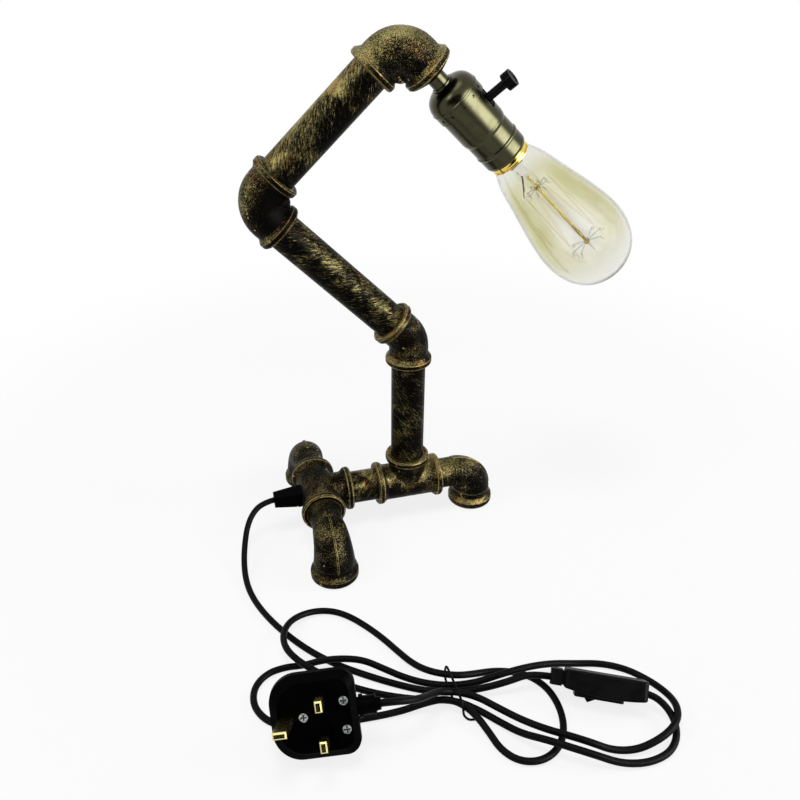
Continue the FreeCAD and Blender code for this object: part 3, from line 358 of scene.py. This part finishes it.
def pipe_finish(name, start, direction, by_painted_highlight, by_patch):
    """Crossed helical brush strokes round a pipe that runs from start along direction."""
    material, tree, shader, spot = start_material("bronzed tube " + name)
    turn = direction.to_track_quat("Z", "Y").inverted()
    local = add(tree, "Mapping", {"Vector": spot, "Location": -(turn @ start),
                                  "Rotation": turn.to_euler()}).outputs["Vector"]
    height = add(tree, "SeparateXYZ", {"Vector": local}).outputs["Z"]
    strokes = []
    for lean_share, grain in brush_strokes:
        twist = math.tan(brush_lean * lean_share) / (tube_radius * MM)
        angle = combine(tree, "MULTIPLY", height, twist)
        wound = add(tree, "VectorRotate", {"Vector": local, "Angle": angle}, rotation_type="Z_AXIS")
        drawn = add(tree, "Mapping", {"Vector": wound.outputs[0], "Scale": (1.0, 1.0, stroke_squeeze)})
        strokes.append(noise(tree, drawn.outputs["Vector"], grain, 4.0, 0.72))
    main = combine(tree, "MAXIMUM", strokes[0], strokes[1])
    back = combine(tree, "MULTIPLY", ramp(tree, strokes[2], 0.5, 0.7), 0.12)
    crossed = combine(tree, "SUBTRACT", main, back)
    # gold strokes thickened in patches and, as painted highlight, on the side facing the top light
    gold_dust_and_highlight = combine(tree, "ADD", crossed, gold_patches_and_painted_highlight(tree, spot, 15.0, by_painted_highlight, by_patch))
    bronze(tree, shader, spot, ramp(tree, gold_dust_and_highlight, stroke_from, stroke_full), copper_from, 0.0)
    bump(tree, shader, crossed, 0.12)
    return material


# ---- plastic, metal and glass finishes ----
def plastic_finish(name, colour, roughness, grain_mm=0.35, specular=0.05):
    """Moulded plastic or rubber with a fine grain and faint smudges."""
    material, tree, shader, spot = start_material(name)
    smudge = noise(tree, spot, 12.0, 3.0)
    paler = [level * 1.6 for level in colour]
    fill(tree, shader, {
        "Base Color": blend_colour(tree, ramp(tree, smudge, 0.3, 0.7), rgb(*colour), rgb(*paler)),
        "Roughness": ramp(tree, smudge, 0.3, 0.7, roughness * 0.85, roughness * 1.15),
        "Specular IOR Level": specular})
    bump(tree, shader, noise(tree, spot, grain_mm, 3.0), 0.02)
    return material


def metal_finish(name, colour, dull, roughness, brushed=None, tarnish=0.5):
    """Metal with a tarnish of colour dull; brushed is the axis that turning lines run round."""
    material, tree, shader, spot = start_material(name)
    cloud = ramp(tree, noise(tree, spot, 7.0, 5.0, 0.6), 0.35, 0.7, 0.0, tarnish)
    fill(tree, shader, {"Base Color": blend_colour(tree, cloud, rgb(*colour), rgb(*dull)),
                        "Roughness": ramp(tree, cloud, 0.0, 1.0, roughness, roughness * 1.4),
                        "Metallic": 1.0})
    if brushed is None:
        bump(tree, shader, noise(tree, spot, 0.4, 3.0), 0.004)
    else:
        lines = add(tree, "TexNoise", {"W": along(tree, spot, brushed), "Scale": 4000.0, "Detail": 3.0},
                    noise_dimensions="1D")
        bump(tree, shader, lines.outputs["Fac"], 0.006)
    return material


def screw_finish(name, colour, shade_and_scuff):
    """Scuffed plated screw head, its recess darkened as painted shade."""
    material, tree, shader, spot = start_material(name)
    # painted shade: the recess and slot walls turn dark where ambient occlusion finds them close
    open_sky = add(tree, "AmbientOcclusion", {"Distance": 1.6 * MM}).outputs["AO"]
    scuffs = ramp(tree, noise(tree, spot, 1.6, 3.0), 0.42, 0.56, 0.28, 1.0)
    unshaded_and_unscuffed = combine(tree, "MULTIPLY", ramp(tree, open_sky, 0.62, 0.99), scuffs)
    fill(tree, shader, {"Base Color": blend_colour(tree, unshaded_and_unscuffed, rgb(*shade_and_scuff), rgb(*colour)),
                        "Roughness": ramp(tree, scuffs, 0.45, 1.0, 0.45, 0.3),
                        "Metallic": 0.35})
    return material


def bulb_finish(name, clear, tinted, painted_rim_shade):
    """Coated glass: tinted most where it is seen at a slant, clear again further out, with painted shade as a
    grey outline at its rim.
    """
    material, tree, shader, spot = start_material(name)
    slant = add(tree, "LayerWeight", {"Blend": 0.5}).outputs["Facing"]
    band = combine(tree, "MULTIPLY", ramp(tree, slant, 0.0, 0.24), ramp(tree, slant, 0.70, 0.50))
    cloud = ramp(tree, noise(tree, spot, 30.0, 2.0), 0.3, 0.7, 0.7, 1.0)
    station = head_station(tree, spot)
    coated = combine(tree, "MULTIPLY", ramp(tree, station, coat_start * MM, coat_full * MM),
                     ramp(tree, station, coat_end * MM, coat_fade * MM))
    tint = combine(tree, "MULTIPLY", combine(tree, "MULTIPLY", band, coated), cloud)
    body = blend_colour(tree, tint, rgb(*clear), rgb(*tinted))
    # painted shade: grey and less clear where the glass is seen edge-on
    painted_outline = ramp(tree, slant, 0.66, 0.90)
    fill(tree, shader, {"Base Color": blend_colour(tree, painted_outline, body, rgb(*painted_rim_shade)),
                        "Transmission Weight": ramp(tree, painted_outline, 0.0, 1.0, 1.0, 0.55),
                        "IOR": glass_ior,
                        "Roughness": 0.0})
    return material


def stem_finish(name, clear, amber):
    """Clear glass at the pinch that turns amber along the rod."""
    material, tree, shader, spot = start_material(name)
    station = head_station(tree, spot)
    past_pinch = ramp(tree, station, (pinch_station + 1) * MM, (pinch_station + 5) * MM)
    cloud = ramp(tree, noise(tree, spot, 6.0, 2.0), 0.2, 0.8, 0.75, 1.0)
    amount = combine(tree, "MULTIPLY", past_pinch, cloud)
    fill(tree, shader, {"Base Color": blend_colour(tree, amount, rgb(*clear), rgb(*amber)),
                        "Transmission Weight": ramp(tree, amount, 0.0, 1.0, 1.0, 0.6),
                        "IOR": glass_ior,
                        "Roughness": 0.05})
    return material


def dress(material, *pieces):
    """Puts a material on pieces, each given as an object or by its node's name."""
    for piece in pieces:
        mesh = nodes[piece].data if isinstance(piece, str) else piece.data
        mesh.materials.clear()
        mesh.materials.append(material)


# ---- camera, light and floor ----
def build_camera():
    turn = (Matrix.Rotation(-camera_azimuth, 3, "Z")
            @ Matrix.Rotation(math.pi / 2 - camera_pitch, 3, "X")
            @ Matrix.Rotation(camera_roll, 3, "Z"))
    bpy.ops.object.camera_add(location=camera_spot, rotation=turn.to_euler())
    camera = bpy.context.object
    camera.data.sensor_width = sensor_width
    camera.data.lens = sensor_width * focal_in_frames
    camera.data.clip_start = 0.01
    bpy.context.scene.camera = camera


def build_world():
    """Even grey light on the object, with plain white behind it."""
    world = bpy.data.worlds.new("studio")
    bpy.context.scene.world = world
    tree = empty_tree(world)
    light = add(tree, "Background", {"Color": rgb(1, 1, 1), "Strength": world_light})
    backdrop = add(tree, "Background", {"Color": rgb(1, 1, 1), "Strength": 1.0})
    mix = add(tree, "MixShader", {"Fac": backdrop_rays(tree), 1: light.outputs[0], 2: backdrop.outputs[0]})
    add(tree, "OutputWorld", {"Surface": mix.outputs[0]})


def build_floor():
    """Pale floor that keeps a soft shadow near the object and is plain white further out."""
    bpy.ops.mesh.primitive_circle_add(vertices=96, radius=floor_radius, fill_type="NGON",
                                      location=(0, 0, -floor_drop))
    floor = bpy.context.object
    floor.name = "floor"
    material, tree, shader, spot = start_material("pale floor")
    pale = blend_colour(tree, noise(tree, spot, 200.0, 2.0), rgb(0.93, 0.93, 0.93), rgb(0.95, 0.95, 0.95))
    fill(tree, shader, {"Base Color": pale, "Roughness": 0.8, "Specular IOR Level": 0.1})
    white = add(tree, "Emission", {"Color": rgb(1, 1, 1), "Strength": 1.0})
    glow = ramp(tree, distance(tree, spot), shadow_radius, white_radius, shadow_glow, 1.0)
    amount = combine(tree, "MULTIPLY", backdrop_rays(tree), glow)
    mix = add(tree, "MixShader", {"Fac": amount, 1: shader.outputs[0], 2: white.outputs[0]})
    fill(tree, tree.nodes["Material Output"], {"Surface": mix.outputs[0]})
    floor.data.materials.append(material)


def build_card(name, spot, target, width, height, glow):
    """Studio card that only reflections and refractions see: a glow that fades to its edge, or black."""
    bpy.ops.mesh.primitive_plane_add(size=1.0, location=spot)
    card = bpy.context.object
    card.name = name
    card.scale = (width, height, 1)
    aim(card, target, "Z")
    material = bpy.data.materials.new(name)
    tree = empty_tree(material)
    strength = 0.0
    if glow:
        sharp_ray = add(tree, "LightPath").outputs["Is Singular Ray"]
        core_glow = ramp(tree, sharp_ray, 0.0, 1.0, glow, card_sharp_glow)
        off_centre = distance(tree, add(tree, "TexCoord").outputs["Object"])
        strength = blend(tree, ramp(tree, off_centre, card_core, card_edge), core_glow, card_edge_glow)
    face = add(tree, "Emission", {"Color": rgb(1, 1, 1), "Strength": strength})
    add(tree, "OutputMaterial", {"Surface": face.outputs[0]})
    card.data.materials.append(material)
    card.visible_camera = False
    card.visible_diffuse = False
    card.visible_shadow = False


def area_light(name, spot, target, size, watts):
    """Lamp for the diffuse light alone; the cards stand for it in reflections."""
    bpy.ops.object.light_add(type="AREA", location=spot)
    lamp = bpy.context.object
    lamp.name = name
    lamp.data.size = size
    lamp.data.energy = watts
    lamp.visible_glossy = False
    lamp.visible_transmission = False
    aim(lamp, target, "-Z")


def build_lights():
    area_light("top light", (-0.15, -0.15, 1.15), (-0.02, 0, 0.15), size=0.4, watts=5.0)
    area_light("right light", (1.0, -0.25, 0.72), (0, 0, 0.2), size=0.4, watts=4.0)
    area_light("left light", (-0.95, -0.15, 0.85), (0, 0, 0.2), size=0.35, watts=2.0)
    build_card("top card", (-0.22, -0.10, 1.10), (-0.02, 0, 0.2), width=0.75, height=0.75, glow=3.2)
    build_card("right card", (0.68, -0.72, 0.52), (0.02, 0, 0.3), width=1.25, height=1.0, glow=14.0)
    build_card("left card", (-0.82, -0.42, 0.82), (-0.08, 0, 0.3), width=0.5, height=0.5, glow=7.0)
    build_card("front flag", (-0.3, -1.05, 0.45), (0, 0, 0.2), width=2.0, height=1.0, glow=0.0)


# ---- flexes ----
def flex(name, route, material):
    """Round flex on a smooth spline through its route's control points."""
    curve = bpy.data.curves.new(name, "CURVE")
    curve.dimensions = "3D"
    spline = curve.splines.new("NURBS")
    spline.points.add(len(route) - 1)
    for point, (x, y, z) in zip(spline.points, route):
        point.co = (riser.x + x * MM, riser.y + y * MM, z * MM, 1.0)
    spline.order_u = 3
    spline.use_endpoint_u = True
    spline.resolution_u = 6
    curve.bevel_depth = flex_width / 2 * MM
    curve.bevel_resolution = 5
    curve.use_fill_caps = True
    piece = bpy.data.objects.new(name, curve)
    bpy.context.scene.collection.objects.link(piece)
    curve.materials.append(material)
    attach(piece, "base")
    return piece


def build_flexes():
    black_flex = plastic_finish("black flex", (0.0020, 0.0021, 0.0019), roughness=0.42, grain_mm=0.5)
    lamp_flex = flex("lamp_flex", lamp_lead, black_flex)
    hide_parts("lead_lamp_to_switch")
    plug_flex = flex("plug_flex", switch_lead, black_flex)
    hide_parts("lead_switch_to_plug")
    dress(black_flex, "flex_in_base", "flex_in_riser", "flex_in_upper_arm", "flex_in_head", "cord_tie",
          "lead_lamp_to_switch", "lead_switch_to_plug")


# ---- castings and pipes ----
def sand_texture():
    sand = bpy.data.textures.new("sand", "CLOUDS")
    sand.noise_scale = skin_grain * MM
    sand.noise_depth = 2
    return sand


def soften_casting(name, sand):
    """Copy of a fitting with the rounded edges and uneven skin of a sand casting."""
    pick(nodes[name])
    bpy.ops.object.duplicate()
    piece = bpy.context.object
    piece.name = "cast_" + name
    edit()
    close_seams()
    leave_edit()
    apply_modifier(piece, "REMESH", mode="VOXEL", voxel_size=casting_voxel * MM)
    apply_modifier(piece, "SMOOTH", factor=0.4, iterations=2)
    apply_modifier(piece, "DISPLACE", texture=sand, texture_coords="LOCAL", strength=skin_depth * MM,
                   mid_level=1.0)
    bpy.ops.object.shade_smooth()
    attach(piece, fittings[name])
    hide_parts(name)
    return piece


def build_castings():
    sand = sand_texture()
    cast = {name: soften_casting(name, sand) for name in fittings}
    # each casting has its own amount of gold, and of painted highlight on its lit side
    dress(casting_finish("bronzed foot", by_painted_highlight=0.07, by_patch=0.08, edge=0.514),
          cast["foot_front"], cast["foot_back"])
    dress(casting_finish("bronzed entry", by_painted_highlight=0.05, by_patch=0.08, copper_start=0.42), cast["tee_entry"])
    dress(casting_finish("bronzed tee", by_painted_highlight=0.11, by_patch=0.11, copper_start=0.42),
          cast["tee_riser"], cast["elbow_knee"])
    dress(casting_finish("bronzed right foot", by_painted_highlight=0.13, by_patch=0.09), cast["foot_right"])
    dress(casting_finish("bronzed elbow", by_painted_highlight=0.19, by_patch=0.07, even=-0.05, edge=0.511,
                         lit_toward=elbow_painted_light_direction, copper_start=0.37), cast["elbow_middle"])
    dress(casting_finish("bronzed top elbow", by_painted_highlight=0.14, by_patch=0.06, even=0.04), cast["elbow_top"])


def dress_pipes():
    # each pipe has its own amount of gold, and of painted highlight on its lit side
    dress(pipe_finish("riser_pipe", riser, Z, by_painted_highlight=0.07, by_patch=0.08), "riser_pipe")
    dress(pipe_finish("lower_arm_pipe", middle, lower_dir, by_painted_highlight=0.10, by_patch=0.08), "lower_arm_pipe")
    dress(pipe_finish("upper_arm_pipe", middle, upper_dir, by_painted_highlight=0.13, by_patch=0.10), "upper_arm_pipe")
    dress(pipe_finish("base_nipple", riser + Z * (base_height * MM), X, by_painted_highlight=0.08, by_patch=0.08),
          "base_nipple")


# ---- mouldings and metal parts ----
def dress_mouldings():
    moulding = plastic_finish("black moulding", (0.0008, 0.0008, 0.0008), roughness=0.38, specular=0.01)
    phenolic = plastic_finish("black phenolic", (0.0030, 0.0030, 0.0031), roughness=0.36)
    dress(phenolic, "switch_knob", "inline_case_front", "inline_case_back")
    dress(moulding, "reducer_bush", "cord_relief", "inline_rocker", "plug_base", "plug_cover", "plug_relief",
          "sleeve_line", "sleeve_neutral", "holder_liner", "holder_body", "bulb_insulator")


def dress_metal_parts():
    antique = metal_finish("antique brass", (0.054, 0.052, 0.029), (0.036, 0.034, 0.018), roughness=0.22,
                           brushed=head_dir)
    yellow = metal_finish("yellow brass", (0.80, 0.60, 0.13), (0.50, 0.36, 0.08), roughness=0.16,
                          brushed=head_dir, tarnish=0.3)
    pin_brass = metal_finish("pin brass", (0.78, 0.68, 0.30), (0.50, 0.42, 0.18), roughness=0.19,
                             tarnish=0.35)
    steel = metal_finish("plated steel", (0.72, 0.72, 0.70), (0.45, 0.45, 0.44), roughness=0.25)
    # the dark colour is painted shade in the screws' recesses, and the darker tone of their scuffs
    zinc = screw_finish("zinc plate", colour=(0.84, 0.88, 0.93), shade_and_scuff=(0.008, 0.008, 0.008))
    dress(antique, "holder_cap", "holder_shell", "holder_nipple")
    dress(yellow, "bulb_cap", "screw_shell")
    dress(pin_brass, "pin_earth", "pin_line", "pin_neutral")
    dress(steel, "terminal_screw_1", "terminal_screw_2", "centre_contact", "bulb_contact", "switch_spindle",
          "inline_screw_1", "inline_screw_2", "inline_axle")
    dress(zinc, "plug_screw_1", "plug_screw_2", "plug_screw_3")


# ---- bulb's stem and wires ----
def turned_piece(name, profile, steps):
    """Solid turned about Z from (radius, station) points in millimetres."""
    bpy.ops.mesh.primitive_plane_add(size=1.0)
    piece = bpy.context.object
    piece.name = name
    edit()
    bpy.ops.mesh.merge(type="CENTER")
    r, z = profile[0]
    bpy.ops.transform.translate(value=(r * MM, 0, z * MM))
    for (r0, z0), (r1, z1) in zip(profile, profile[1:]):
        step = ((r1 - r0) * MM, 0, (z1 - z0) * MM)
        bpy.ops.mesh.extrude_region_move(TRANSFORM_OT_translate={"value": step})
    bpy.ops.mesh.select_all(action="SELECT")
    bpy.ops.mesh.spin(steps=steps, angle=math.tau, dupli=False, center=(0, 0, 0), axis=(0, 0, 1))
    close_seams()
    leave_edit()
    bpy.ops.object.shade_smooth()
    return piece


def glass_stem():
    """Flare sealed to the neck, pinch and rod, with a button at the rod's end."""
    profile = [(0.0, 104.4), (2.2, 104.4), (6.0, 104.0), (9.4, 103.2), (12.4, 103.0), (12.5, 103.6),
               (9.8, 104.3), (6.8, 106.4), (4.8, 109.6), (3.7, 113.0), (3.0, pinch_station),
               (2.2, pinch_station + 0.9), (rod_radius, pinch_station + 1.6),
               (rod_radius, upper_station + 0.9), (1.7, upper_station + 1.3), (1.5, upper_station + 2.1),
               (0.8, upper_station + 2.6), (0.0, upper_station + 2.7)]
    piece = turned_piece("bulb_glass_stem", profile, steps=40)
    put(piece, head_place())
    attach(piece, "bulb")
    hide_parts("bulb_stem")
    return piece


def hooked_spokes(name, station, reach, turn):
    """Spokes round a hub, each ending in a hook curled back over its tip."""
    bpy.ops.mesh.primitive_circle_add(vertices=6, radius=spoke_radius * MM, fill_type="NOTHING",
                                      location=(spoke_root * MM, 0, 0), rotation=(0, math.pi / 2, 0))
    piece = bpy.context.object
    piece.name = name
    pick(piece)
    apply_place()
    edit()
    bpy.ops.mesh.extrude_region_move(TRANSFORM_OT_translate={"value": ((reach - spoke_root) * MM, 0, 0)})
    bpy.ops.mesh.spin(steps=12, angle=hook_curl, dupli=False,
                      center=(reach * MM, 0, hook_radius * MM), axis=(0, -1, 0))
    close_seams()
    bpy.ops.mesh.fill_holes(sides=0)
    bpy.ops.mesh.select_all(action="SELECT")
    bpy.ops.mesh.spin(steps=spokes, angle=math.tau, dupli=True, center=(0, 0, 0), axis=(0, 0, 1))
    close_seams()
    leave_edit()
    bpy.ops.object.shade_smooth()
    put(piece, Matrix.Rotation(turn, 4, "Z"))
    put(piece, head_place(station))
    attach(piece, "bulb")
    return piece


def hub_collar(name, station):
    """Rounded collar on the glass rod that holds the spokes."""
    bpy.ops.mesh.primitive_cylinder_add(vertices=24, radius=hub_radius * MM, depth=hub_length * MM)
    collar = bpy.context.object
    collar.name = name
    edit()
    bpy.ops.mesh.bevel(offset=hub_bevel * MM, segments=3, affect="EDGES")
    leave_edit()
    bpy.ops.object.shade_smooth()
    put(collar, head_place(station))
    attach(collar, "bulb")
    return collar


def build_supports(node, station, reach, turn, dark_wire, gold_wire):
    """Crown of hooked wires and its collar, in place of a plain node."""
    wires = hooked_spokes(node + "_hooks", station, reach, turn)
    collar = hub_collar(node + "_collar", station)
    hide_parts(node)
    dress(dark_wire, wires)
    dress(gold_wire, collar)


def wire_run(name, route, radius, node):
    """Round wire through (radius, angle, station) points about the head's axis, in place of a node."""
    points = [Vector((r * math.cos(a), r * math.sin(a), z)) * MM for r, a, z in route]
    legs = []
    for a, b in zip(points, points[1:]):
        span = b - a
        bpy.ops.mesh.primitive_cylinder_add(vertices=8, radius=radius * MM, depth=span.length,
                                            location=(a + b) / 2,
                                            rotation=span.to_track_quat("Z", "Y").to_euler())
        legs.append(bpy.context.object)
    for corner in points[1:-1]:
        bpy.ops.mesh.primitive_uv_sphere_add(segments=8, ring_count=6, radius=radius * bend_swell * MM,
                                             location=corner)
        legs.append(bpy.context.object)
    pick(*legs)
    apply_place()
    bpy.ops.object.join()
    piece = bpy.context.object
    piece.name = name
    bpy.ops.object.shade_smooth_by_angle(angle=math.radians(50))
    put(piece, head_place())
    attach(piece, "bulb")
    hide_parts(node)
    return piece


def filament_route():
    """Zigzag from the lower hooks to the upper ones and back, with a gap between its ends."""
    ends = ((filament_upper_reach, upper_station), (filament_lower_reach, hook_station))
    route = []
    for i in range(1, 2 * spokes):
        reach, station = ends[i % 2]
        route.append((reach, math.pi + i * half_gap, station))
    return route


def feed_route(angle):
    """From inside the pinch out to a lower hook, at one angle about the head's axis."""
    return [(2.2, angle, pinch_station - 4), (3.0, angle, pinch_station + 2),
            (lead_reach, angle, hook_station)]


def build_bulb():
    # the grey of the glass's rim is painted shade along its outline
    glass = bulb_finish("clear glass", clear=(0.890, 0.890, 0.855), tinted=(0.70, 0.675, 0.40),
                        painted_rim_shade=(0.36, 0.36, 0.34))
    stem_glass = stem_finish("stem glass", clear=(0.98, 0.975, 0.95), amber=(0.95, 0.78, 0.25))
    dark_wire = metal_finish("drawn wire", (0.10, 0.075, 0.05), (0.05, 0.04, 0.03), roughness=0.35)
    gold_wire = metal_finish("hot wire", (0.60, 0.45, 0.16), (0.40, 0.28, 0.10), roughness=0.30)
    dress(glass, "bulb_glass")
    dress(stem_glass, glass_stem())
    build_supports("bulb_supports_lower", lower_station, lower_reach, half_gap, dark_wire, gold_wire)
    build_supports("bulb_supports_upper", upper_station, upper_reach, 0.0, dark_wire, gold_wire)
    for number, angle in ((1, math.pi), (2, math.pi + 2 * half_gap)):
        dress(dark_wire, wire_run("bulb_feed_%d" % number, feed_route(angle), lead_radius,
                                  "bulb_lead_%d" % number))
    dress(gold_wire, wire_run("bulb_filament_wire", filament_route(), filament_radius, "bulb_filament"))


build_camera()
build_world()
build_floor()
build_lights()
build_flexes()
build_castings()
dress_pipes()
dress_mouldings()
dress_metal_parts()
build_bulb()

bpy.context.scene.view_settings.view_transform = "Standard"
